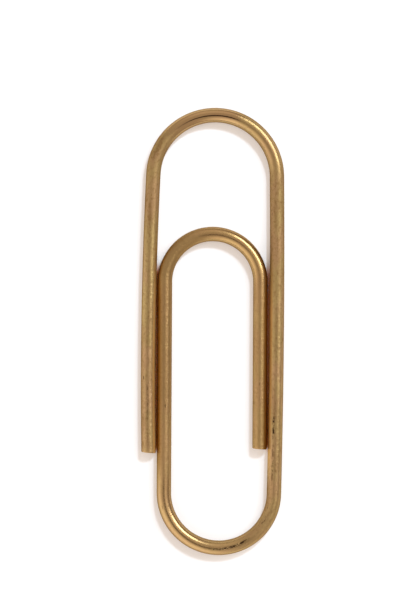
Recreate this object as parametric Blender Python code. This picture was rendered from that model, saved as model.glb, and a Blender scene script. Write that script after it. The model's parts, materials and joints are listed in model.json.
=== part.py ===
"""A large desk paper clip, bent from one round brass rod.

Seen from above with the inner tongue pointing away (+Y), the rod starts at a sawn end low on the left.
It runs up the outer free leg, round the top bend, down the long leg on the right, round the bottom bend,
up the inner long leg, round the inner bend and down the inner free leg to the second sawn end. Every bend
turns the same way, so the rod winds inwards and its legs lie side by side in one plane.

The clip grips because its bends are springs: lifting the tongue twists the rod at the crown of a bend,
where it runs along X. The rod is therefore modelled as four runs that meet at the three crowns, and each
moving run has its origin on the rod's own axis there. Units are metres, and the clip lies on z = 0.
"""

import math
from collections import namedtuple

import bmesh
import bpy
import numpy as np
from mathutils import Matrix, Vector

for leftover in list(bpy.data.objects):
    bpy.data.objects.remove(leftover)

MM = 0.001
DEGREE = math.pi / 180

# Overall sizes, measured over the outside of the rod
ROD_DIAMETER = 5.5 * MM
CLIP_LENGTH = 170.0 * MM
TONGUE_LENGTH = 124.8 * MM

# The tongue's bend, to the middle of the rod, and the slit between legs that lie side by side
INNER_BEND_RADIUS = 18.15 * MM
LEG_GAP = 0.4 * MM

# How far each sawn end stops short of the level where the bottom bend starts
OUTER_END_SETBACK = 15.2 * MM
INNER_END_SETBACK = 16.8 * MM

# The two outer legs are not quite straight: the turn of each gentle bow from end to end,
# and how far the long leg leans in where it enters the bottom bend
OUTER_LEG_BOW = 3.7 * DEGREE
LONG_LEG_BOW = 1.9 * DEGREE
LONG_LEG_LEAN = 1.2 * DEGREE

# The sawn ends: how far each cut is out of square, and the rounded edge that deburring leaves
OUTER_END_CUT = 6.0 * DEGREE
INNER_END_CUT = 4.0 * DEGREE
EDGE_BREAK = 0.3 * MM
EDGE_STEPS = 2
EDGE_ROUNDNESS = 0.5

# The hairline between two runs at a crown
SEAM_GAP = 0.3 * MM

# Faceting: flats on the round section, a multiple of four so that one flat lies on the table,
# and how far a facet may cut inside a curve
SECTION_FLATS = 24
FACET_SAG = 0.02 * MM
SHARP_FROM = 35.0 * DEGREE

BRASS_COLOUR = (0.60, 0.41, 0.18, 1.0)
BRASS_ROUGHNESS = 0.35

ROD_RADIUS = ROD_DIAMETER / 2
HALF_TURN = math.pi
QUARTER_TURN = math.pi / 2

Stretch = namedtuple("Stretch", "length turn")


def ahead(heading):
    """The direction of travel. A heading is measured clockwise from +Y, as on a compass."""
    return Vector((math.sin(heading), math.cos(heading), 0.0))


def right_of(heading):
    """The direction to the right of travel, where the centre of every bend lies."""
    return Vector((math.cos(heading), -math.sin(heading), 0.0))


def arc_chord(heading, turn):
    """Where an evenly turning line of unit length ends, seen from its start."""
    if turn == 0:
        return ahead(heading)
    return (right_of(heading) - right_of(heading + turn)) / turn


class BendLine:
    """The middle line of the rod: stretches that each turn evenly, one after the other."""

    def __init__(self, start, heading, stretches):
        self.start = start
        self.heading = heading
        self.stretches = stretches

    def locate(self, distance):
        """The point and the heading at a distance along the rod."""
        point = self.start
        heading = self.heading
        for stretch in self.stretches:
            travelled = min(distance, stretch.length)
            turn = stretch.turn * travelled / stretch.length
            point = point + travelled * arc_chord(heading, turn)
            heading += turn
            distance -= travelled
        return point, heading

    def distance_to(self, heading):
        """How far along the rod it first points along a heading."""
        distance = 0.0
        reached = self.heading
        for stretch in self.stretches:
            if stretch.turn > 0 and heading <= reached + stretch.turn:
                return distance + stretch.length * (heading - reached) / stretch.turn
            reached += stretch.turn
            distance += stretch.length
        raise ValueError("the rod never points that way")

    def length(self):
        return sum(stretch.length for stretch in self.stretches)


def lay_out_rod():
    """Works out every leg and bend, with the bottom bend's centre at the origin.

    The bottom bend is as wide as the tongue plus the neighbour that lies beside it. The long leg leans out
    as it rises, so the bend is narrower than that by the lean at the level of the inner sawn end.
    The outer free leg bows so that its tip and the inner bend's shoulder clear it by the same gap.
    Three lengths then follow from where the outer loop has to close.
    """
    pitch = ROD_DIAMETER + LEG_GAP
    lean_at_inner_end = INNER_END_SETBACK * math.tan(LONG_LEG_LEAN)
    bottom_radius = INNER_BEND_RADIUS + (pitch - lean_at_inner_end) / 2
    inner_leg = TONGUE_LENGTH - ROD_DIAMETER - bottom_radius - INNER_BEND_RADIUS
    top_level = CLIP_LENGTH - ROD_DIAMETER - bottom_radius

    outer_leg_rise = top_level - bottom_radius - pitch / 2 - OUTER_END_SETBACK
    side_by_side = inner_leg - OUTER_END_SETBACK
    tip_heading = -OUTER_LEG_BOW * side_by_side / 2 / outer_leg_rise
    top_heading = tip_heading + OUTER_LEG_BOW
    long_leg_heading = HALF_TURN + LONG_LEG_LEAN - LONG_LEG_BOW
    top_turn = long_leg_heading - top_heading
    bottom_turn = HALF_TURN - LONG_LEG_LEAN

    tip = Vector((-bottom_radius - pitch, OUTER_END_SETBACK, 0.0))
    bottom_start = -bottom_radius * right_of(HALF_TURN + LONG_LEG_LEAN)
    along_outer = arc_chord(tip_heading, OUTER_LEG_BOW)
    round_top = top_turn * arc_chord(top_heading, top_turn)
    along_long = arc_chord(long_leg_heading, LONG_LEG_BOW)
    crown_over_start = 1 - math.sin(top_heading)
    closing = np.array(
        [
            [along_outer.x, round_top.x, along_long.x],
            [along_outer.y, round_top.y, along_long.y],
            [along_outer.y, crown_over_start, 0.0],
        ]
    )
    way = bottom_start - tip
    outer_leg, top_radius, long_leg = np.linalg.solve(closing, [way.x, way.y, top_level - tip.y])

    stretches = [
        Stretch(float(outer_leg), OUTER_LEG_BOW),
        Stretch(float(top_radius) * top_turn, top_turn),
        Stretch(float(long_leg), LONG_LEG_BOW),
        Stretch(bottom_radius * bottom_turn, bottom_turn),
        Stretch(inner_leg, 0.0),
        Stretch(INNER_BEND_RADIUS * HALF_TURN, HALF_TURN),
        Stretch(inner_leg - INNER_END_SETBACK, 0.0),
    ]
    return BendLine(tip, tip_heading, stretches)


def centre_on_table(line):
    """Moves the rod so that the middle of its outline is over the origin, lying on z = 0."""
    leftmost = line.locate(line.distance_to(0.0))[0].x
    rightmost = line.locate(line.distance_to(HALF_TURN))[0].x
    highest = line.locate(line.distance_to(QUARTER_TURN))[0].y
    lowest = line.locate(line.distance_to(HALF_TURN + QUARTER_TURN))[0].y
    middle = Vector(((leftmost + rightmost) / 2, (lowest + highest) / 2, -ROD_RADIUS))
    line.start = line.start - middle


def draw_section(mesh, point, heading):
    """A ring of flats round the rod, square to its heading, with one flat level underneath."""
    corner_radius = ROD_RADIUS / math.cos(math.pi / SECTION_FLATS)
    half_flat = Matrix.Rotation(math.pi / SECTION_FLATS, 4, "Z")
    stand_up = Matrix.Rotation(QUARTER_TURN, 4, "X")
    aim = Matrix.Rotation(-heading, 4, "Z")
    ring = bmesh.ops.create_circle(
        mesh,
        segments=SECTION_FLATS,
        radius=corner_radius,
        matrix=Matrix.Translation(point) @ aim @ stand_up @ half_flat,
    )["verts"]
    return ring + edges_among(ring)


def edges_among(corners):
    """The edges whose two ends are both among these corners."""
    found = {edge for corner in corners for edge in corner.link_edges}
    return [edge for edge in found if all(end in corners for end in edge.verts)]


def corners_of(ring):
    return [item for item in ring if isinstance(item, bmesh.types.BMVert)]


def carry_straight(mesh, ring, travel):
    """Draws the ring out along a straight stretch."""
    rims = [item for item in ring if isinstance(item, bmesh.types.BMEdge)]
    drawn = bmesh.ops.extrude_edge_only(mesh, edges=rims)["geom"]
    corners = corners_of(drawn)
    bmesh.ops.translate(mesh, verts=corners, vec=travel)
    return corners + edges_among(corners)


def carry_round(mesh, ring, centre, radius, turn):
    """Spins the ring round the centre of a bend, in steps fine enough to look round."""
    finest = 2 * math.acos(1 - FACET_SAG / radius)
    return bmesh.ops.spin(
        mesh,
        geom=ring,
        cent=centre,
        axis=(0.0, 0.0, -1.0),
        angle=turn,
        steps=math.ceil(turn / finest),
    )["geom_last"]


def carry_along(mesh, ring, line, begin, end):
    """Carries the ring along the rod's middle line, from one distance to another."""
    reached = 0.0
    for stretch in line.stretches:
        first = max(begin, reached)
        last = min(end, reached + stretch.length)
        reached += stretch.length
        if last <= first:
            continue
        point, heading = line.locate(first)
        turn = stretch.turn * (last - first) / stretch.length
        if turn == 0:
            ring = carry_straight(mesh, ring, (last - first) * ahead(heading))
        else:
            radius = stretch.length / stretch.turn
            ring = carry_round(mesh, ring, point + radius * right_of(heading), radius, turn)
    return ring


def saw_off(mesh, ring, tip, outward, cut):
    """Slants a sawn end, which leaves its right side a little longer, and breaks the edge round it."""
    corners = corners_of(ring)
    for corner in corners:
        aside = (corner.co - tip).x
        corner.co += aside * math.tan(cut) * outward
    bmesh.ops.bevel(
        mesh,
        geom=edges_among(corners),
        offset=EDGE_BREAK,
        segments=EDGE_STEPS,
        profile=EDGE_ROUNDNESS,
        affect="EDGES",
    )


def brass_for(name):
    """The drawn brass of one run."""
    material = bpy.data.materials.new(f"{name}_brass")
    material.use_nodes = True
    shader = material.node_tree.nodes["Principled BSDF"]
    shader.inputs["Base Color"].default_value = BRASS_COLOUR
    shader.inputs["Metallic"].default_value = 1.0
    shader.inputs["Roughness"].default_value = BRASS_ROUGHNESS
    return material


def bend_run(name, line, begin, end, origin, carrier=None, cut_at_begin=0.0, cut_at_end=0.0):
    """One run of the rod between two distances, turning about its origin on the run that carries it."""
    mesh = bmesh.new()
    first_ring = draw_section(mesh, *line.locate(begin))
    last_ring = carry_along(mesh, first_ring, line, begin, end)
    bmesh.ops.holes_fill(mesh, edges=mesh.edges[:], sides=SECTION_FLATS)
    if cut_at_begin:
        tip, heading = line.locate(begin)
        saw_off(mesh, first_ring, tip, -ahead(heading), cut_at_begin)
    if cut_at_end:
        tip, heading = line.locate(end)
        saw_off(mesh, last_ring, tip, ahead(heading), cut_at_end)
    bmesh.ops.recalc_face_normals(mesh, faces=mesh.faces[:])
    bmesh.ops.translate(mesh, verts=mesh.verts[:], vec=-origin)

    data = bpy.data.meshes.new(name)
    mesh.to_mesh(data)
    mesh.free()
    data.materials.append(brass_for(name))
    data.shade_smooth()
    data.set_sharp_from_angle(angle=SHARP_FROM)
    run = bpy.data.objects.new(name, data)
    bpy.context.scene.collection.objects.link(run)
    run.location = origin
    if carrier is not None:
        run.parent = carrier
        run.matrix_parent_inverse = carrier.matrix_world.inverted()
    bpy.context.view_layer.update()
    print(f"{name}: {(end - begin) / MM:.1f} mm of rod, origin at {tuple(round(c, 5) for c in origin)}")
    return run


def build_clip():
    line = lay_out_rod()
    centre_on_table(line)
    top_crown = line.distance_to(QUARTER_TURN)
    bottom_crown = line.distance_to(HALF_TURN + QUARTER_TURN)
    inner_crown = line.distance_to(2 * HALF_TURN + QUARTER_TURN)
    half_seam = SEAM_GAP / 2

    long_leg = bend_run(
        "outer_long_leg",
        line,
        top_crown + half_seam,
        bottom_crown - half_seam,
        origin=Vector((0.0, 0.0, 0.0)),
    )
    bend_run(
        "outer_free_leg",
        line,
        0.0,
        top_crown - half_seam,
        origin=line.locate(top_crown)[0],
        carrier=long_leg,
        cut_at_begin=OUTER_END_CUT,
    )
    inner_leg = bend_run(
        "inner_long_leg",
        line,
        bottom_crown + half_seam,
        inner_crown - half_seam,
        origin=line.locate(bottom_crown)[0],
        carrier=long_leg,
    )
    bend_run(
        "inner_free_leg",
        line,
        inner_crown + half_seam,
        line.length(),
        origin=line.locate(inner_crown)[0],
        carrier=inner_leg,
        cut_at_end=INNER_END_CUT,
    )
    for name, stretch in zip(("top", "bottom", "inner"), line.stretches[1::2]):
        print(f"{name} bend: radius {stretch.length / stretch.turn / MM:.2f} mm")


build_clip()
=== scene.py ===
# %% [markdown]
# This clip is a desk accessory as long as a hand: a familiar flat paper clip, bent from one thick brass rod.
# The packed CAD model already says where every leg and bend is, so it is loaded first and stays as it is.
# Everything below is built on top of it, in the same frame and in metres: +Y runs along the legs, +Z is up.

# %% Load the CAD frame
import json
import math

import bmesh
import bpy
import numpy as np
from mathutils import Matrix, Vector


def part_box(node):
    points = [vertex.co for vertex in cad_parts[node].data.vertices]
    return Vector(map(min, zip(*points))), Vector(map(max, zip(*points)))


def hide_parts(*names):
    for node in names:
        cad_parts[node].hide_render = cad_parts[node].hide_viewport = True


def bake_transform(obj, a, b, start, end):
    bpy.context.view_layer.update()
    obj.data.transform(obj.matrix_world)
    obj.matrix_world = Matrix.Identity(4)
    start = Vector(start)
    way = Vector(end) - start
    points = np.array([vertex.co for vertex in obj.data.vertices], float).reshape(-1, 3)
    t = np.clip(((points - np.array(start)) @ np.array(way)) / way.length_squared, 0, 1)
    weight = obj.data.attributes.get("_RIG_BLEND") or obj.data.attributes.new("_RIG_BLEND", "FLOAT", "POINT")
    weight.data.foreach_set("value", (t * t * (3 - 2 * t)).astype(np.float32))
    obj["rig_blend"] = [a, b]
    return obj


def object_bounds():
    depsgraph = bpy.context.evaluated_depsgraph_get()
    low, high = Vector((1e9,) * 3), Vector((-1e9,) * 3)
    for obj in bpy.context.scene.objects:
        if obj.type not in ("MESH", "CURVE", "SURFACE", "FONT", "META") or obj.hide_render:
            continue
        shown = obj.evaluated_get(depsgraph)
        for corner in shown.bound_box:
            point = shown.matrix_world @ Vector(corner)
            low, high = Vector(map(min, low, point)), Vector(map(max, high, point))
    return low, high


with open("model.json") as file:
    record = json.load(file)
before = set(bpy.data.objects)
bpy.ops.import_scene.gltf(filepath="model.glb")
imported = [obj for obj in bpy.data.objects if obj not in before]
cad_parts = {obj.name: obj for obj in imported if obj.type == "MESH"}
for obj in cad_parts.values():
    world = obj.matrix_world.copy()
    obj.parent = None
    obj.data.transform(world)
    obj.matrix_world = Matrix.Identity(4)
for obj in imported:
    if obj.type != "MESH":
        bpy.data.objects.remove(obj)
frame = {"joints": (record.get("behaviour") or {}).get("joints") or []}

MM = 0.001
DEGREE = math.pi / 180
cad_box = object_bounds()
scene = bpy.context.scene
print("CAD box in mm:", [round(side / MM, 1) for side in cad_box[1] - cad_box[0]])

# %% [markdown]
# The photograph looks straight down, so the camera does too. How much of the table it takes in follows from the
# clip itself: its length covers 447 of the picture's 615 rows. A long lens from well above keeps the round rod from
# leaning outwards near the edges of the picture, as a wide lens close by would make it do.

# %% The camera
PICTURE_ROWS = 615
CLIP_ROWS = 447.06
VIEW_CENTRE = Vector((-2.93 * MM, 9.09 * MM, 0.0))
CAMERA_TURN = 0.297 * DEGREE
LENS = 100.0
FILM_HEIGHT = 36.0

rod_radius = (cad_box[1].z - cad_box[0].z) / 2
clip_length = cad_box[1].y - cad_box[0].y
seen_height = clip_length * PICTURE_ROWS / CLIP_ROWS
camera_data = bpy.data.cameras.new("overhead_camera")
camera_data.lens = LENS
camera_data.sensor_width = FILM_HEIGHT  # Blender gives the film's width to the longer side of the picture
camera = bpy.data.objects.new("overhead_camera", camera_data)
scene.collection.objects.link(camera)
camera.location = VIEW_CENTRE + Vector((0.0, 0.0, rod_radius + seen_height * LENS / FILM_HEIGHT))
camera.rotation_euler = (0.0, 0.0, CAMERA_TURN)
scene.camera = camera
print(f"the camera stands {camera.location.z / MM:.0f} mm up and sees {seen_height / MM:.0f} mm of table")

# %% [markdown]
# The rod is drawn along its middle line, so the line comes before any mesh. It is a chain of stretches that each turn
# evenly: a leg turns hardly at all and a bend turns half round. The frame gives the three crowns, which are the
# joints of the model, and the two straight legs. What is left is how the outer legs bow, as small angles,
# and two lengths that follow from the crowns that the outer loop has to pass through.
# A heading is measured clockwise from +Y, as on a compass, because this rod only ever turns that way.

# %% The middle line of the rod
OUTER_LEG_BOW = 3.7 * DEGREE
OUTER_LEG_TIP_LEAN = 1.15 * DEGREE
LONG_LEG_BOW = 1.9 * DEGREE
LONG_LEG_LEAN = 1.2 * DEGREE
OUTER_END_SETBACK = 15.2 * MM
INNER_END_SETBACK = 16.8 * MM
EAST, SOUTH, WEST, FULL_TURN = [quarters * math.pi / 2 for quarters in (1, 2, 3, 4)]


def right_of(heading):
    return Vector((math.cos(heading), -math.sin(heading), 0.0))


def chord(heading, turn):
    """Where an evenly turning line of unit length ends, seen from its start."""
    if turn == 0:
        return Vector((math.sin(heading), math.cos(heading), 0.0))
    return (right_of(heading) - right_of(heading + turn)) / turn


def bend(heading, last_heading):
    """Where a bend of unit radius ends, seen from its start."""
    return (last_heading - heading) * chord(heading, last_heading - heading)


crowns = {joint["name"]: Vector(joint["pos_m"]) for joint in frame["joints"]}
top_crown = crowns["top_bend_flex"]
bottom_crown = crowns["bottom_bend_flex"]
inner_crown = crowns["inner_bend_flex"]
inner_long_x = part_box("inner_long_leg")[0].x + rod_radius
bottom_radius = bottom_crown.x - inner_long_x
inner_radius = inner_crown.x - inner_long_x
bend_level = bottom_crown.y + bottom_radius
inner_leg = inner_crown.y - inner_radius - bend_level

outer_heading = OUTER_LEG_BOW - OUTER_LEG_TIP_LEAN
long_heading = SOUTH + LONG_LEG_LEAN - LONG_LEG_BOW
bottom_heading = SOUTH + LONG_LEG_LEAN
way = bottom_crown - top_crown - bottom_radius * bend(bottom_heading, WEST)
second_quarter = bend(EAST, long_heading)
down_long_leg = chord(long_heading, LONG_LEG_BOW)
top_radius, long_leg = np.linalg.solve(
    [[second_quarter.x, down_long_leg.x], [second_quarter.y, down_long_leg.y]], [way.x, way.y]
).tolist()
up_outer_leg = chord(-OUTER_LEG_TIP_LEAN, OUTER_LEG_BOW)
outer_leg_top = top_crown - top_radius * bend(outer_heading, EAST)
outer_leg = (outer_leg_top.y - bend_level - OUTER_END_SETBACK) / up_outer_leg.y
rod_start = outer_leg_top - outer_leg * up_outer_leg
stretches = [
    (outer_leg, OUTER_LEG_BOW),
    (top_radius * (long_heading - outer_heading), long_heading - outer_heading),
    (long_leg, LONG_LEG_BOW),
    (bottom_radius * (FULL_TURN - bottom_heading), FULL_TURN - bottom_heading),
    (inner_leg, 0.0),
    (inner_radius * math.pi, math.pi),
    (inner_leg - INNER_END_SETBACK, 0.0),
]
stretch_ends = np.cumsum([length for length, turn in stretches]).tolist()
rod_length = stretch_ends[-1]
radii = [round(radius / MM, 2) for radius in (top_radius, bottom_radius, inner_radius)]
print(f"{rod_length / MM:.1f} mm of rod, bent to radii of", radii, "mm")

# %% [markdown]
# A walk along that line gives, for any distance from the first sawn end, the point, the heading and how burnished the
# rod is. Bending rolls it hard against a former, and the part of each bend that was rolled last came out smoothest:
# the top bend's crown most of all. A short table says which shares of which bends those are, and how strong they are.

# %% Walking along the rod
TOP_BEND, BOTTOM_BEND, INNER_BEND = 1, 3, 5  # which of the stretches are bends
# the bend, the shares of its length where the burnishing begins and ends, and its strength
BURNISHED = (
    (TOP_BEND, 0.22, 0.645, 1.0),
    (TOP_BEND, 0.25, 0.98, 0.5),
    (BOTTOM_BEND, 0.29, 1.08, 0.5),
    (INNER_BEND, 0.4, 1.06, 0.5),
)
BURNISH_FADE = 10.0 * MM


def smooth_step(value):
    value = min(max(value, 0.0), 1.0)
    return value * value * (3 - 2 * value)


def place_on_rod(distance):
    """The point and the heading at a distance along the rod."""
    point, heading = rod_start.copy(), -OUTER_LEG_TIP_LEAN
    for length, turn in stretches:
        travelled = min(distance, length)
        part = turn * travelled / length
        point += travelled * chord(heading, part)
        heading += part
        distance -= travelled
        if distance <= 0:
            break
    return point, heading


def burnish_at(distance):
    """The strength of the burnishing, which fades out on both sides of where it was rolled."""
    most = 0.0
    for stretch, first, last, strength in BURNISHED:
        begin, length = stretch_ends[stretch - 1], stretches[stretch][0]
        away = max(begin + first * length - distance, distance - begin - last * length)
        most = max(most, strength * (1 - smooth_step(away / BURNISH_FADE + 0.5)))
    return most


ends = {distance: place_on_rod(distance)[0] for distance in (0.0, rod_length)}
print("the sawn ends are at", [[round(c / MM, 1) for c in point] for point in ends.values()])

# %% [markdown]
# A curve with a round bevel would give a rod in one line of code. A mesh made ring by ring gives more: every point can
# remember where it was on the straight rod, before bending. Draw marks then follow the rod round each bend,
# with no seam, because the finish is worked out on the straight rod. First comes the list of rings. They stand 1 mm
# apart, and closer at a sawn end, where a file has rounded the edge. A ring is its distance along the rod, its radius,
# the slant of the saw cut, and how much the edge is worn.

# %% The rings of one length
RING_SPACING = 1.0 * MM
EDGE_BREAK = 0.3 * MM
EDGE_STEPS = 5
EDGE_ROOM = 1.5 * EDGE_BREAK
PLAIN_ROD_FROM = 2 * EDGE_BREAK
EDGE_WEAR = 2.2 * MM
END_CUTS = {0.0: 6.0 * DEGREE, rod_length: 4.0 * DEGREE}
FACE_RINGS = (0.96, 0.7, 0.4)
face_radius = rod_radius - EDGE_BREAK


def sawn_rings(tip, inward):
    """The rings of a sawn end, from the rod over the filed edge to the middle of the face."""
    sawn = [(tip + inward * EDGE_ROOM, rod_radius)]
    for step in range(EDGE_STEPS + 1):
        turn = math.pi / 2 * step / EDGE_STEPS
        back = EDGE_BREAK * (1 - math.sin(turn))
        sawn.append((tip + inward * back, face_radius + EDGE_BREAK * math.cos(turn)))
    sawn += [(tip, face_radius * share) for share in FACE_RINGS]
    return [(distance, radius, math.tan(END_CUTS[tip]), 1.0) for distance, radius in sawn]


def ring_plan(begin, end):
    """(distance, radius, slant, edge wear) of every ring, from one end of a length to the other."""
    marks = [begin, *(mark for mark in stretch_ends if begin + RING_SPACING < mark < end - RING_SPACING), end]
    distances = [end]
    for first, last in zip(marks, marks[1:]):
        distances += np.linspace(first, last, math.ceil((last - first) / RING_SPACING), endpoint=False).tolist()
    plan = []
    for distance in sorted(distances):
        to_end = min(distance, rod_length - distance)
        if to_end > PLAIN_ROD_FROM:
            plan.append((distance, rod_radius, 0.0, 1 - smooth_step(to_end / EDGE_WEAR)))
    if begin in END_CUTS:
        plan = sawn_rings(begin, 1)[::-1] + plan
    if end in END_CUTS:
        plan += sawn_rings(end, -1)
    return plan


print("a sawn end takes", len(sawn_rings(0.0, 1)), "rings")

# %% [markdown]
# A ring is 48 points round the rod, square to its heading. At a sawn end the points also slide along the rod, by the
# slant of the cut. Three facts are kept on every point for the finish: its place on the straight rod in millimetres,
# how burnished it is, and how worn. A finish could try to find them from the bent shape, but here they are known.

# %% One ring
SIDES = 48
UP = Vector((0.0, 0.0, 1.0))


def make_ring(mesh, distance, radius, slant, worn):
    """The points of one ring, each with what the finish needs to know of it."""
    layers = mesh.verts.layers
    point, heading = place_on_rod(distance)
    outward = -1 if distance < rod_length / 2 else 1
    ring = []
    for side in range(SIDES):
        around = 2 * math.pi * side / SIDES
        offset = radius * (math.cos(around) * right_of(heading) + math.sin(around) * UP)
        slid = outward * offset.x * slant
        corner = mesh.verts.new(point + offset + slid * chord(heading, 0.0))
        corner[layers.float_vector["straight_rod"]] = (
            Vector((distance + slid, radius * math.cos(around), radius * math.sin(around))) / MM
        )
        corner[layers.float["burnish"]] = burnish_at(distance)
        corner[layers.float["edge_wear"]] = worn
        ring.append(corner)
    return ring


print(f"{SIDES} sides make a ring's edge {2 * math.pi * rod_radius / SIDES / MM:.2f} mm long")

# %% [markdown]
# Rings become a closed mesh when each is joined to the next and the two ends are capped. The mesh also gets a UV map
# that lays the unrolled rod down in four strips, side by side. Nothing below looks at it, but a map with next to no
# stretch lets the finish be painted into a picture later. Smart UV Project could make one too, in many more islands.

# %% One length of rod
SHARP_ANGLE = 50 * DEGREE
ROUNDING = 1e-9
STRIPS = 4
STRIP_SHARE = 0.88
STRIP_SPARE = 1.1 * RING_SPACING
STRIP_INSET = 0.005
STRIP_MARGIN = 0.02
CAP_SPOTS = ((0.95, 0.06), (0.95, 0.17))
CAP_SIZE = 0.045


def lay_flat(face, unrolled, spots):
    for loop, spot in zip(face.loops, spots):
        loop[unrolled].uv = spot


def close_end(mesh, ring, unrolled, centre):
    face = mesh.faces.new(ring)
    turns = [2 * math.pi * side / SIDES for side in range(SIDES)]
    lay_flat(face, unrolled, [Vector(centre) + CAP_SIZE * Vector((math.cos(t), math.sin(t))) for t in turns])
    return face


def make_length(name, begin, end):
    """A closed mesh of the rod between two distances."""
    mesh = bmesh.new()
    mesh.verts.layers.float_vector.new("straight_rod")
    mesh.verts.layers.float.new("burnish")
    mesh.verts.layers.float.new("edge_wear")
    unrolled = mesh.loops.layers.uv.new("OFBake")
    plan = ring_plan(begin, end)
    rings = [make_ring(mesh, *ring) for ring in plan]
    on_face = [radius < face_radius + ROUNDING for distance, radius, slant, worn in plan]
    steps = [math.dist(ring[:2], following[:2]) for ring, following in zip(plan, plan[1:])]
    reached = [0.0, *np.cumsum(steps).tolist()]
    strip_length = reached[-1] / STRIPS
    scale = STRIP_SHARE / (strip_length + STRIP_SPARE)
    for row, (ring, following) in enumerate(zip(rings, rings[1:])):
        strip = min(int(reached[row] / strip_length), STRIPS - 1)
        left, right = [(place - strip * strip_length) * scale + STRIP_INSET for place in reached[row : row + 2]]
        for side in range(SIDES):
            after = (side + 1) % SIDES
            face = mesh.faces.new((ring[side], following[side], following[after], ring[after]))
            face.material_index = int(on_face[row] and on_face[row + 1])
            low, high = [
                (strip + STRIP_MARGIN + (1 - 2 * STRIP_MARGIN) * (side + step) / SIDES) / STRIPS for step in (0, 1)
            ]
            lay_flat(face, unrolled, ((left, low), (right, low), (right, high), (left, high)))
    close_end(mesh, rings[0], unrolled, CAP_SPOTS[0]).material_index = int(begin in END_CUTS)
    close_end(mesh, rings[-1][::-1], unrolled, CAP_SPOTS[1]).material_index = int(end in END_CUTS)
    bmesh.ops.recalc_face_normals(mesh, faces=mesh.faces[:])
    data = bpy.data.meshes.new(name)
    mesh.to_mesh(data)
    mesh.free()
    data.shade_smooth()
    data.set_sharp_from_angle(angle=SHARP_ANGLE)
    piece = bpy.data.objects.new(name, data)
    scene.collection.objects.link(piece)
    return piece


print(f"the map has {STRIPS} strips for the rod and {len(CAP_SPOTS)} spots for its ends")

# %% [markdown]
# The real rod is one piece from end to end. It could be one mesh here too, but a mesh can only bend with one joint of
# the model, and there are three. So it is made as three lengths that meet in the middle of a leg, each with one bend.

# %% The three lengths
long_leg_middle = stretch_ends[TOP_BEND] + long_leg / 2
inner_leg_middle = stretch_ends[BOTTOM_BEND] + inner_leg / 2
top_length = make_length("rod_top_bend", 0.0, long_leg_middle)
bottom_length = make_length("rod_bottom_bend", long_leg_middle, inner_leg_middle)
inner_length = make_length("rod_inner_bend", inner_leg_middle, rod_length)
lengths = (top_length, bottom_length, inner_length)
for piece in lengths:
    print(piece.name, len(piece.data.polygons), "faces")

# %% [markdown]
# The brass needs a good deal of shader arithmetic. Wired by hand, every plus and times is a node of its own, and the
# sum is soon lost among the wires. So one small class stands for a socket's value, and Python's own operators add the
# Math nodes. Every other kind of node comes from add_node: first its settings, then what goes into its sockets.

# %% Shader maths as Python


class Signal:
    """A socket's value on its way through a node tree."""

    def __init__(self, socket):
        self.socket = socket

    def maths(self, operation, *terms):
        return add_node(self.socket.id_data, "ShaderNodeMath", {"operation": operation}, dict(enumerate(terms)))

    def __add__(self, other):
        return self.maths("ADD", self, other)

    def __sub__(self, other):
        return self.maths("SUBTRACT", self, other)

    def __rsub__(self, other):
        return self.maths("SUBTRACT", other, self)

    def __mul__(self, other):
        return self.maths("MULTIPLY", self, other)

    def __abs__(self):
        return self.maths("ABSOLUTE", self)

    __radd__ = __add__
    __rmul__ = __mul__


def add_node(tree, kind, settings, sockets, take=0):
    """Adds a node, sets it up, then gives its sockets their values or links, and returns one of its outputs."""
    node = tree.nodes.new(kind)
    for name, setting in settings.items():
        setattr(node, name, setting)
    for key, value in sockets.items():
        if isinstance(value, Signal):
            tree.links.new(value.socket, node.inputs[key])
        else:
            node.inputs[key].default_value = value
    return Signal(node.outputs[take])


abilities = [name for name in vars(Signal) if callable(getattr(Signal, name)) and not hasattr(object, name)]
print("a Signal can", ", ".join(abilities))

# %% [markdown]
# A few steps come up again and again in a finish, so each gets a name: a mask with a soft edge, a window with two of
# them, one colour laid over another, and noise that is stretched along the rod. A colour ramp could make a mask too,
# but its stops lie between 0 and 1, and most of these masks are in millimetres.

# %% Masks, colours and noise
MIX_SHARE, MIX_FIRST, MIX_SECOND, MIX_RESULT = 0, 6, 7, 2  # a Mix node's colour sockets share names with its others


def soft_step(value, low, high):
    """0 below low and 1 above high, or the other way round where low is the greater, with a soft change between."""
    return add_node(
        value.socket.id_data,
        "ShaderNodeMapRange",
        {"interpolation_type": "SMOOTHSTEP"},
        {"Value": value, "From Min": low, "From Max": high},
    )


def between(value, begin, full, last_full, end):
    """1 from full to last_full, with a soft change up from begin and down to end."""
    return soft_step(value, begin, full) * soft_step(value, end, last_full)


def blend_colours(share, first, second):
    return add_node(
        share.socket.id_data,
        "ShaderNodeMix",
        {"data_type": "RGBA"},
        {MIX_SHARE: share, MIX_FIRST: first, MIX_SECOND: second},
        take=MIX_RESULT,
    )


def stretched_noise(place, stretch, detail, rough):
    """Noise with so many features per millimetre along the rod, and across it."""
    tree = place.socket.id_data
    stretched = add_node(tree, "ShaderNodeVectorMath", {"operation": "MULTIPLY"}, {0: place, 1: stretch})
    return add_node(
        tree, "ShaderNodeTexNoise", {}, {"Vector": stretched, "Scale": 1.0, "Detail": detail, "Roughness": rough}
    )


def new_finish(name):
    finish = bpy.data.materials.new(name)
    finish.use_nodes = True
    return finish, finish.node_tree, finish.node_tree.nodes["Principled BSDF"]


def feed(shader, socket, value):
    shader.id_data.links.new(value.socket, shader.inputs[socket])


helpers = (soft_step, between, blend_colours, stretched_noise, new_finish, feed)
print("helpers for a finish:", ", ".join(helper.__name__ for helper in helpers))

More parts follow.
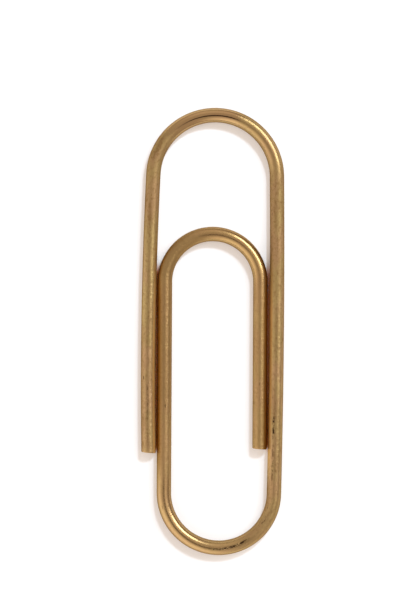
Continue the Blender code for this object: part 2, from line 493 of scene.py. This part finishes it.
# %% [markdown]
# Brass rod is pulled cold through a die, which leaves fine lines along it. Years of handling then dull it: brown
# tarnish gathers in clouds and along the lines, most of all on the flanks, which fingers and paper don't rub.
# The flanks' brown is also painted shade, which darkens the sides where they mirror the paper.
# Every pattern below is noise on the straight rod, stretched along it by its own amount.
# It could be one noise with a colour ramp, but then colour, gloss and relief would all rise and fall together.
# Handling isn't even, either: the upper loop has gone dull, the lower loop is bright, and the tongue is the warmest,
# with a dull leg of its own. Soft windows along the rod, in millimetres, say where.

# %% The patterns on the rod
# features per millimetre along the rod and across it, then the noise's detail and roughness
PATTERNS = {
    "draw lines": ((0.03, 5.0, 5.0), 3, 0.6),
    "streaks": ((0.012, 0.8, 0.8), 2, 0.5),
    "clouds": ((0.07, 0.32, 0.32), 4, 0.6),
    "patches": ((0.09, 0.22, 0.22), 2, 0.5),
    "grain": ((0.9, 1.3, 1.3), 3, 0.65),
    "dents": ((0.2, 0.45, 0.45), 1, 0.5),
    "ripples": ((1.1, 0.5, 0.5), 2, 0.6),
}
# millimetres along the rod: where a window begins, is full, is last full and ends (a pair goes on to the rod's end)
DULL_LOOP = (60, 100, 205, 245)
BRIGHT_LOOP = (280, 320, 380, 420)
DULL_TONGUE = (380, 405, 452, 482)
TONGUE = (340, 420)

rod_finish, brass, brass_shader = new_finish("satin_brass")
rod = add_node(brass, "ShaderNodeAttribute", {"attribute_name": "straight_rod"}, {}, take=1)
burnish, edge_wear = [
    add_node(brass, "ShaderNodeAttribute", {"attribute_name": fact}, {}, take=2) for fact in ("burnish", "edge_wear")
]
along, aside, above = [add_node(brass, "ShaderNodeSeparateXYZ", {}, {0: rod}, take=axis) for axis in range(3)]
draw_lines, streaks, clouds, patches, grain, dents, ripples = [
    stretched_noise(rod, *pattern) for pattern in PATTERNS.values()
]
dull_loop = between(along, *DULL_LOOP)
bright_loop = between(along, *BRIGHT_LOOP)
dull_tongue = between(along, *DULL_TONGUE)
tongue = soft_step(along, *TONGUE)
longest = min(PATTERNS, key=lambda name: PATTERNS[name][0][0])
finest = max(PATTERNS, key=lambda name: PATTERNS[name][0][1])
print("of", len(PATTERNS), "patterns the", longest, "are the longest and the", finest, "the finest")

# %% [markdown]
# Where the die picked up a speck, it drew a row of dark pits into the rod. One lies on the long leg above the bottom
# bend, thick at first and then faint, another crosses the top of the bottom bend, and a faint one is near the outer
# sawn end. Soft windows on the straight rod place the rows, and the grain breaks them into dashes. Elsewhere pits are
# rare: a Voronoi texture gives each of its cells a lot, and only the highest lots become pits. Rolling closes those.

# %% Pits
PIT_CELLS = (0.42, 1.7, 1.7)
ROW_FADE = 2
# soft steps: the value at which each is 0, and the one at which it is 1
PIT_SIZE = (0.42, 0.2)
HIGH_LOTS = (0.985, 1.0)
DASHED = (0.44, 0.54)
SCORED = (0.5, 0.62)
ROW_SIDES = (0.5, 0.15)
UPPER_SIDE = (0.5, 1.5)
# millimetres along the rod from and to, millimetres aside of its top there, and how thick the row is
ROWS = (
    (270, 278, 0.8, 0.8, 1.3),
    (281, 294, 0.85, 0.9, 0.5),
    (309, 311, 1.05, 1.0, 1.2),
    (320, 334, 0.55, -0.3, 1.4),
    (13, 27, -0.1, -0.1, 0.45),
)


def row_of_pits(begin, end, aside_first, aside_last, thickness):
    """As high as the row is thick on a line along the rod, and 0 beside it."""
    line = add_node(
        brass,
        "ShaderNodeMapRange",
        {},
        {"Value": along, "From Min": begin, "From Max": end, "To Min": aside_first, "To Max": aside_last},
    )
    window = between(along, begin - ROW_FADE, begin + ROW_FADE, end - ROW_FADE, end + ROW_FADE)
    return thickness * window * soft_step(above, *UPPER_SIDE) * soft_step(abs(aside - line), *ROW_SIDES)


cells = add_node(brass, "ShaderNodeVectorMath", {"operation": "MULTIPLY"}, {0: rod, 1: PIT_CELLS})
to_pit, lots = [
    add_node(brass, "ShaderNodeTexVoronoi", {}, {"Vector": cells, "Scale": 1.0}, take=output) for output in (0, 1)
]
lot = add_node(brass, "ShaderNodeSeparateColor", {}, {0: lots})
in_row = sum(row_of_pits(*row) for row in ROWS)
dashes = in_row * soft_step(grain, *DASHED)
pits = soft_step(to_pit, *PIT_SIZE) * soft_step(lot, *HIGH_LOTS) * (1 - burnish) + dashes
scored = in_row * soft_step(draw_lines, *SCORED)
print(len(ROWS), "rows of pits,", sum(row[1] - row[0] for row in ROWS), "mm in all")

# %% [markdown]
# Tarnish lies where nothing rubs it off, so the burnished stretches have the least. Two narrow places are different.
# In the slits, where the tongue lies beside the loop, the loop's flank gets painted light, for the light that the brass
# across the slit throws on it, and the shoulder of the tongue that faces it gets painted shade. A mask for each is a
# window along the rod times a window across it. They could be painted by hand, but two windows are a few numbers, and
# easy to move.

# %% Where tarnish, wear, painted light and painted shade lie
CLOUDED, CLOUD_SHARE = (0.45, 0.7), 0.5
STREAKED, STREAK_SHARE = (0.48, 0.72), 0.3
SPECKLED, SPECKLE_SHARE = (0.48, 0.68), 0.6
DULL_SHARE = 0.25
RUBBED_OFF = 0.7
# the slits, in millimetres along the rod, on the outer legs and then on the tongue (a pair goes on to the rod's end)
LOOP_SLITS = (88, 56), (202, 234, 272, 298)
TONGUE_SLITS = (364, 386, 436, 458), (490, 510)
# millimetres aside of the rod's middle, or above it
SHOULDER_SIDE = (-0.3, -2.1)
SHOULDER_RISE = (0.0, 0.8)
FLANK_SIDE = (1.4, 2.3)
FLANK_LEVEL = (2.0, 1.0)
FLANK_SHARE, FLANK_CLOUDS = 0.42, 0.4

rubbed = 1 - RUBBED_OFF * burnish
tarnish = (
    CLOUD_SHARE * soft_step(clouds, *CLOUDED) + STREAK_SHARE * soft_step(streaks, *STREAKED) + DULL_SHARE * dull_loop
) * rubbed
speckle = SPECKLE_SHARE * soft_step(grain, *SPECKLED) * rubbed
beside_tongue = soft_step(along, *LOOP_SLITS[0]) + between(along, *LOOP_SLITS[1])
beside_loop = between(along, *TONGUE_SLITS[0]) + soft_step(along, *TONGUE_SLITS[1])
# painted shade on the tongue's shoulder beside a slit
shoulder_shade = soft_step(aside, *SHOULDER_SIDE) * beside_loop * soft_step(above, *SHOULDER_RISE)
# painted light on the loop's flank in a slit
slit_side = soft_step(aside, *FLANK_SIDE) * beside_tongue
# the flanks' brown is tarnish and painted shade, darker where the sides mirror the paper
flank_tarnish_and_shade = soft_step(abs(above), *FLANK_LEVEL) * (FLANK_SHARE + FLANK_CLOUDS * clouds) * (1 - slit_side)
print(len(brass.nodes), "nodes so far")

# %% [markdown]
# Colour comes first: satin brass, olive in some patches and rosy in others, so that the metal isn't one hue. Then
# tarnish, rubbed metal, the warmer tongue, the flanks' tarnish and painted shade, the slits' painted light and shade,
# and the dark pits are each mixed over the last by their own mask. One ramp over one mask would be shorter, but no two
# of these lie in the same place.

# %% Satin brass: colour
OLIVE_BRASS = (0.46, 0.338, 0.143, 1.0)
ROSE_BRASS = (0.48, 0.312, 0.158, 1.0)
TARNISH = (0.30, 0.185, 0.075, 1.0)
# tarnish and painted shade on the flanks
FLANK_TARNISH_AND_SHADE = (0.24, 0.145, 0.06, 1.0)
RUBBED_BRASS = (0.55, 0.366, 0.172, 1.0)
TONGUE_BRASS = (0.48, 0.305, 0.125, 1.0)
PIT_BROWN = (0.055, 0.028, 0.012, 1.0)
# painted light on the loop's flank in a slit, and painted shade on the tongue's shoulder
SLIT_PAINTED_LIGHT = (0.85, 0.555, 0.20, 1.0)
SHOULDER_PAINTED_SHADE = (0.25, 0.12, 0.02, 1.0)
EDGE_TINT = (0.6, 0.48, 0.36, 1.0)
PATCHED = (0.35, 0.65)
# how strong a colour is where its mask is full
BURNISH_BARE, EDGE_BARE, BRIGHT_BARE = 0.35, 0.5, 0.25
TONGUE_WARM, TONGUE_DULL = 0.45, 0.45
SHOULDER_DARK, SCORE_DARK, PIT_DARK = 0.9, 0.45, 0.9

colour = blend_colours(soft_step(patches, *PATCHED), OLIVE_BRASS, ROSE_BRASS)
for share, layer in (
    (tarnish + speckle, TARNISH),
    (BURNISH_BARE * burnish + EDGE_BARE * edge_wear + BRIGHT_BARE * bright_loop, RUBBED_BRASS),
    (TONGUE_WARM * tongue, TONGUE_BRASS),
    (TONGUE_DULL * dull_tongue, TARNISH),
    (flank_tarnish_and_shade, FLANK_TARNISH_AND_SHADE),
    (slit_side, SLIT_PAINTED_LIGHT),
    (SHOULDER_DARK * shoulder_shade, SHOULDER_PAINTED_SHADE),
    (SCORE_DARK * scored, TARNISH),
    (PIT_DARK * pits, PIT_BROWN),
):
    colour = blend_colours(share, colour, layer)
feed(brass_shader, "Base Color", colour)
brass_shader.inputs["Metallic"].default_value = 1.0
brass_shader.inputs["Specular Tint"].default_value = EDGE_TINT
print(len(brass.nodes), "nodes with the colours")

# %% [markdown]
# Gloss and relief make it metal. The legs are satin, and the burnished stretches smooth enough for sharp highlights
# and a thin dark line. The relief is a height in millimetres, which a Bump node turns into tilted normals: shallow
# dents and ripples that break up the highlight, draw lines, grain and pits. Rolling presses most of it flat, so it
# fades where the rod is polished. Displaced geometry could do the same, but each of these heights is a tenth of a
# millimetre at most, far below the mesh's own 1 mm steps.

# %% Satin brass: gloss and relief
SATIN_ROUGHNESS = 0.31
BURNISHED_ROUGHNESS = 0.13
TARNISH_ROUGH, LINE_ROUGH, PIT_ROUGH, SLIT_ROUGH, DULL_ROUGH = 0.12, 0.12, 0.25, 0.25, 0.16
DENT_HEIGHT = 0.05
LINE_HEIGHT = 0.007
GRAIN_HEIGHT = 0.085
RIPPLE_HEIGHT = 0.10
PIT_DEPTH = 0.05
POLISHED = (0.05, 0.5)
DENTS_PRESSED, GRAIN_PRESSED, RIPPLES_DULLED = 0.5, 0.88, 0.6

roughened = (
    TARNISH_ROUGH * tarnish
    + LINE_ROUGH * draw_lines
    + PIT_ROUGH * pits
    + SLIT_ROUGH * slit_side
    + DULL_ROUGH * dull_loop
)
roughness = (SATIN_ROUGHNESS + roughened) * (1 - burnish) + BURNISHED_ROUGHNESS * burnish
feed(brass_shader, "Roughness", roughness)
fine_relief = 1 - GRAIN_PRESSED * soft_step(burnish, *POLISHED)
height = (
    DENT_HEIGHT * dents * (1 - DENTS_PRESSED * burnish)
    + (LINE_HEIGHT * draw_lines + GRAIN_HEIGHT * grain) * fine_relief
    + RIPPLE_HEIGHT * ripples * (1 - RIPPLES_DULLED * dull_loop) * fine_relief
    - PIT_DEPTH * pits
)
relief = add_node(brass, "ShaderNodeBump", {}, {"Height": height, "Distance": MM, "Strength": 1.0})
feed(brass_shader, "Normal", relief)
print(len(brass.nodes), "nodes in the satin brass")

# %% [markdown]
# The two end faces were sawn and only lightly filed. They show the saw's parallel grooves, a little uneven, on metal
# that is yellower than the rod because its tarnish is younger. The grooves could be modelled, but at a fiftieth of a
# millimetre deep they are a matter of shading: bands from a Wave texture, with noise smeared over them.

# %% Sawn brass
SAWN_BRASS = (0.54, 0.37, 0.16, 1.0)
SAWN_DULL = (0.36, 0.235, 0.10, 1.0)
SMEARS = ((1.0, 0.5, 1.4), 3, 0.6)
SMEARED = (0.4, 0.7)
SMEARS_DULL, GROOVES_DULL = 0.55, 0.3
SAWN_ROUGHNESS, SMEAR_ROUGH = 0.34, 0.14
SAW_HEIGHT = 0.02
SMEAR_HEIGHT = 0.01

sawn_finish, sawn, sawn_shader = new_finish("sawn_brass")
sawn_place = add_node(sawn, "ShaderNodeAttribute", {"attribute_name": "straight_rod"}, {}, take=1)
grooves = add_node(
    sawn,
    "ShaderNodeTexWave",
    {"bands_direction": "Z"},
    {"Vector": sawn_place, "Scale": 0.9, "Distortion": 2.5, "Detail": 2.0, "Detail Scale": 0.6},
    take=1,
)
smears = stretched_noise(sawn_place, *SMEARS)
dull = SMEARS_DULL * soft_step(smears, *SMEARED) + GROOVES_DULL * grooves
feed(sawn_shader, "Base Color", blend_colours(dull, SAWN_BRASS, SAWN_DULL))
feed(sawn_shader, "Roughness", SAWN_ROUGHNESS + SMEAR_ROUGH * smears)
sawn_height = SAW_HEIGHT * grooves + SMEAR_HEIGHT * smears
sawn_relief = add_node(sawn, "ShaderNodeBump", {}, {"Height": sawn_height, "Distance": MM, "Strength": 1.0})
feed(sawn_shader, "Normal", sawn_relief)
sawn_shader.inputs["Metallic"].default_value = 1.0
for piece in lengths:
    piece.data.materials.append(rod_finish)
    piece.data.materials.append(sawn_finish)
print("sawn faces:", sum(face.material_index for piece in lengths for face in piece.data.polygons))

# %% [markdown]
# A clip grips because its bends are springs: sheets push the tongue and the loop apart, and each bend twists a little.
# The model has a joint at each crown. A length that rode on one body would tear open there, so each length is blended
# across its joint: the legs stay straight with their own bodies, and the turn is spread over the whole bend.

# %% Each length bends with its joint
TOP_REACH = Vector((20.5 * MM, 0.0, 0.0))
BOTTOM_REACH = Vector((18.0 * MM, 0.0, 0.0))
INNER_REACH = Vector((15.3 * MM, 0.0, 0.0))

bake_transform(top_length, "outer_free_leg", "outer_long_leg", start=top_crown - TOP_REACH, end=top_crown + TOP_REACH)
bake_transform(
    bottom_length,
    "outer_long_leg",
    "inner_long_leg",
    start=bottom_crown + BOTTOM_REACH,
    end=bottom_crown - BOTTOM_REACH,
)
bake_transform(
    inner_length, "inner_long_leg", "inner_free_leg", start=inner_crown - INNER_REACH, end=inner_crown + INNER_REACH
)
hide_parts("outer_free_leg", "outer_long_leg")
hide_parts("outer_long_leg", "inner_long_leg")
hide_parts("inner_long_leg", "inner_free_leg")
print(len(lengths), "lengths bend at", ", ".join(crowns))

# %% [markdown]
# The clip lies on a sheet of white paper. A large plane does, with nothing drawn on it. The slit between two legs is
# the one place that needs care: next to no light gets in, and what does has bounced off brass, so the paper there is
# brown. A renderer follows only so many bounces, so the last ones are painted: Ambient Occlusion says how much open
# sky a point of the paper sees, and a window along each slit keeps the brown from the rest of the paper.

# %% The paper and its slits
PAPER_WHITE = (0.94, 0.94, 0.94, 1.0)
SLIT_BROWN = (0.74, 0.21, 0.01, 1.0)
PAPER_ROUGHNESS = 0.9
SKY_SAMPLES, SKY_REACH = 12, 20 * MM
SHADED_SKY = (0.4, 0.22)
# millimetres: beside a slit's line, up from the outer sawn end, and up from the inner crown
SLIT_SIDES = (1.2, 0.6)
SLIT_BEGINS = (-1, 2)
SLIT_ENDS = (-16, -9)
UP_THE_OUTER_LEG = 0.35  # the share of that leg at which its slit is measured

paper_finish, paper, paper_shader = new_finish("white_paper")
spot = add_node(paper, "ShaderNodeTexCoord", {}, {}, take="Object")
spot_x, spot_y = [add_node(paper, "ShaderNodeSeparateXYZ", {}, {0: spot}, take=axis) * (1 / MM) for axis in (0, 1)]
open_sky = add_node(paper, "ShaderNodeAmbientOcclusion", {"samples": SKY_SAMPLES}, {"Distance": SKY_REACH}, take=1)
begins = [ends[0.0].y / MM + step for step in SLIT_BEGINS]
stops = [inner_crown.y / MM + step for step in SLIT_ENDS]
slit_lines = [
    (place_on_rod(outer_at)[0].x + inner_x) / 2 / MM
    for outer_at, inner_x in (
        (UP_THE_OUTER_LEG * outer_leg, inner_long_x),
        (long_leg_middle, inner_crown.x + inner_radius),
    )
]
beside_a_slit = sum(soft_step(abs(spot_x - slit_x), *SLIT_SIDES) for slit_x in slit_lines)
shaded = beside_a_slit * between(spot_y, *begins, *stops) * soft_step(open_sky, *SHADED_SKY)
feed(paper_shader, "Base Color", blend_colours(shaded, PAPER_WHITE, SLIT_BROWN))
paper_shader.inputs["Roughness"].default_value = PAPER_ROUGHNESS
paper_shader.inputs["Specular IOR Level"].default_value = 0.0
print("the slits lie along x =", [round(slit_x, 1) for slit_x in slit_lines], "mm")

# %% [markdown]
# The paper also gets a faint painted glow, which softens the shadows on it. More light from above
# would lift them too, but it would wash out the metal. So an Emission shader glows, for rays that come from the camera
# or from a mirror image: the metal shows the same paper that the camera sees. It fades out where the clip covers it.

# %% The painted glow, and the table itself
PAINTED_PAPER_GLOW = (1.0, 0.88, 0.78, 1.0)
GLOW_SHARE = 0.36
GLOWING_SKY = (0.2, 0.45)
TABLE_WIDTH = 4.0

# a painted glow, which lightens the shadows on the paper
painted_glow = add_node(paper, "ShaderNodeEmission", {}, {"Color": PAINTED_PAPER_GLOW, "Strength": 1.0})
seen = sum(
    add_node(paper, "ShaderNodeLightPath", {}, {}, take=ray)
    for ray in ("Is Camera Ray", "Is Glossy Ray", "Is Transmission Ray")
)
painted_glow_share = GLOW_SHARE * seen * soft_step(open_sky, *GLOWING_SKY)
lifted = add_node(paper, "ShaderNodeMixShader", {}, {0: painted_glow_share, 1: Signal(paper_shader.outputs[0]), 2: painted_glow})
feed(paper.nodes["Material Output"], "Surface", lifted)
table_mesh = bmesh.new()
bmesh.ops.create_grid(table_mesh, x_segments=1, y_segments=1, size=TABLE_WIDTH / 2)
table_data = bpy.data.meshes.new("table")
table_mesh.to_mesh(table_data)
table_mesh.free()
table_data.materials.append(paper_finish)
table = bpy.data.objects.new("table", table_data)
scene.collection.objects.link(table)
print(f"the table is {TABLE_WIDTH:.0f} m wide, and its paper has {len(paper.nodes)} nodes")

# %% [markdown]
# Metal shows its surroundings, so lighting it means building a room for it to mirror. The world is that room: an even
# warm dome with a dark corner low in the north-east, a pale wall low in the south-west, a paler patch of the north wall
# and a skylight in the east. A short dark beam almost overhead is what the top bend's crown mirrors as a thin dark
# line. Walls could be modelled, but directions are enough: the dot product of two says how near they are.

# %% The room around it
DOME = (0.635, 0.545, 0.487, 1.0)
CORNER = (0.36, 0.29, 0.25, 1.0)
WALL = (1.58, 1.44, 1.37, 1.0)
NORTH_WALL = (0.88, 0.77, 0.70, 1.0)
SKYLIGHT = (1.18, 1.08, 1.0, 1.0)
BEAM = (0.05, 0.02, 0.015, 1.0)
# degrees: the azimuth and zenith of the middle, how far it reaches, how far it is full, and then the colour
PATCHES = (
    (40, 90, 70, 30, CORNER),
    (226, 86, 70, 20, WALL),
    (90, 55, 30, 6, NORTH_WALL),
    (3, 30, 24, 6, SKYLIGHT),
)
# the beam is what a round patch and a band across the room have in common
BEAM_PATCH = (271, 12.5, 13, 6)
ACROSS_BEAM = (90, 75)
BEAM_REACH, BEAM_FULL = 18, 10


def toward(azimuth, zenith):
    """A direction: degrees round from +X, and degrees down from straight up."""
    low = math.sin(zenith * DEGREE)
    return Vector((low * math.cos(azimuth * DEGREE), low * math.sin(azimuth * DEGREE), math.cos(zenith * DEGREE)))


def nearness(looking, direction):
    """The cosine of the angle between where a ray looks and a direction."""
    room = looking.socket.id_data
    return add_node(room, "ShaderNodeVectorMath", {"operation": "DOT_PRODUCT"}, {0: looking, 1: direction}, take=1)


def round_patch(looking, azimuth, zenith, reach, full):
    """1 up to full degrees from the middle of a patch of the room, and 0 beyond its reach."""
    near = nearness(looking, toward(azimuth, zenith))
    return soft_step(near, math.cos(reach * DEGREE), math.cos(full * DEGREE))


world = bpy.data.worlds.new("studio_room")
scene.world = world
world.use_nodes = True
room = world.node_tree
looking = add_node(room, "ShaderNodeTexCoord", {}, {})
surroundings = DOME
for *place, patch_colour in PATCHES:
    surroundings = blend_colours(round_patch(looking, *place), surroundings, patch_colour)
off_beam = abs(nearness(looking, toward(*ACROSS_BEAM)))
beam_width = soft_step(off_beam, math.sin(BEAM_REACH * DEGREE), math.sin(BEAM_FULL * DEGREE))
surroundings = blend_colours(beam_width * round_patch(looking, *BEAM_PATCH), surroundings, BEAM)
feed(room.nodes["Background"], "Color", surroundings)
print(len(room.nodes), "nodes make the room")

# %% [markdown]
# Two lamps do the rest. A small one high in the north-east casts the crisp shadow on the paper. A broad one, as a
# window would be, stands lower and further off: it is what shines in the bends. Near the clip it would shine at another
# angle in each bend. The small one is kept out of the metal's reflections, or the bends would show two highlights.


# %% The lamps
def hang_lamp(name, direction, distance, width, height, power, colour):
    """A rectangular lamp that faces the clip, with its width and height in degrees as the clip sees them."""
    light = bpy.data.lights.new(name, "AREA")
    light.shape = "RECTANGLE"
    light.size, light.size_y = [2 * distance * math.tan(angle / 2 * DEGREE) for angle in (width, height)]
    light.energy = power
    light.color = colour
    lamp = bpy.data.objects.new(name, light)
    scene.collection.objects.link(lamp)
    lamp.location = direction * distance
    lamp.rotation_mode = "QUATERNION"
    lamp.rotation_quaternion = direction.to_track_quat("Z", "Y")
    print(f"{name}: {light.size:.2f} by {light.size_y:.2f} m, {power:.1f} W")
    return lamp


key = hang_lamp(
    "key_lamp", toward(62, 39.5), distance=1.5, width=6, height=6, power=12.5, colour=(0.80, 1.0, 1.2)
)
key.visible_glossy = False
hang_lamp("window_lamp", toward(39, 49), distance=4.0, width=36, height=18, power=75.7, colour=(0.95, 1.0, 1.05))
scene.view_settings.view_transform = "Standard"

# %% [markdown] The visual model should fill the same box as the CAD model.
